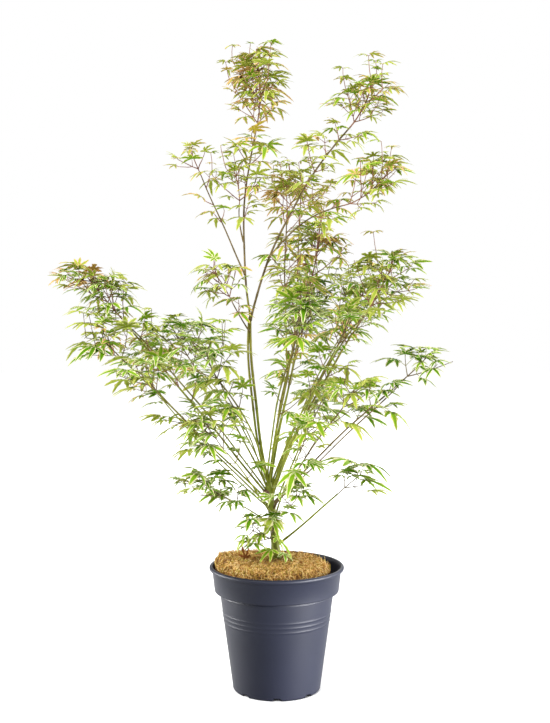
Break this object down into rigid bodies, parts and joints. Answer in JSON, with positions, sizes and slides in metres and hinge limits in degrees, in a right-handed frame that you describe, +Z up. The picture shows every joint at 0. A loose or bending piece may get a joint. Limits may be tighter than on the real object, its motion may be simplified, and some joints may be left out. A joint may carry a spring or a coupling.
{
  "type": "potted japanese maple",
  "caption": "Young many-stemmed Japanese maple with an open fan of slender boughs and palmate leaves, standing in a tapered nursery pot topped with a fibre mat.",
  "frame": {"origin": "centre of the pot's flat underside", "axes": "+Z up along the pot's axis, +X to the right and +Y away from a viewer in front of the plant"},
  "size_m": [0.5576, 0.4132, 0.9208],
  "materials": {
    "pot": "dark slate blue-grey plastic with a soft satin sheen",
    "soil": "dark moist potting soil",
    "fibre_mat": "golden brown coconut fibre",
    "trunk": "smooth olive green bark with fine brown flecks",
    "boughs": "smooth green bark that turns red-brown on the young twigs",
    "foliage": "thin matt leaves, green with cream margins, yellow-green and pink towards the tips"
  },
  "bodies": {
    "root": {"pot": "pot", "soil": "soil", "fibre_mat": "fibre_mat", "trunk": "trunk", "leader": "boughs", "top_bough": "boughs", "upper_right_bough": "boughs", "upper_left_bough": "boughs", "side_left_bough": "boughs", "right_arch_bough": "boughs", "high_left_bough": "boughs", "centre_bough": "boughs", "centre_high_bough": "boughs", "back_high_bough": "boughs", "front_bough": "boughs", "back_bough": "boughs", "mid_left_bough": "boughs", "right_high_bough": "boughs", "back_left_bough": "boughs", "right_front_bough": "boughs", "far_left_bough": "boughs", "back_right_bough": "boughs", "left_bough": "boughs", "right_low_bough": "boughs", "left_low_bough": "boughs", "right_inner_bough": "boughs", "back_low_bough": "boughs", "low_left_bough": "boughs", "low_front_bough": "boughs", "left_sprig_bough": "boughs", "right_sprig_bough": "boughs", "top_leaves": "foliage", "upper_right_leaves": "foliage", "upper_left_leaves": "foliage", "side_left_leaves": "foliage", "right_arch_leaves": "foliage", "high_left_leaves": "foliage", "centre_leaves": "foliage", "centre_high_leaves": "foliage", "back_high_leaves": "foliage", "front_leaves": "foliage", "back_leaves": "foliage", "mid_left_leaves": "foliage", "right_high_leaves": "foliage", "back_left_leaves": "foliage", "right_front_leaves": "foliage", "far_left_leaves": "foliage", "back_right_leaves": "foliage", "left_leaves": "foliage", "right_low_leaves": "foliage", "left_low_leaves": "foliage", "right_inner_leaves": "foliage", "back_low_leaves": "foliage", "low_left_leaves": "foliage", "low_front_leaves": "foliage", "left_sprig_leaves": "foliage", "right_sprig_leaves": "foliage", "fork_leaves": "foliage", "foot_leaves": "foliage"}
  },
  "joints": []
}
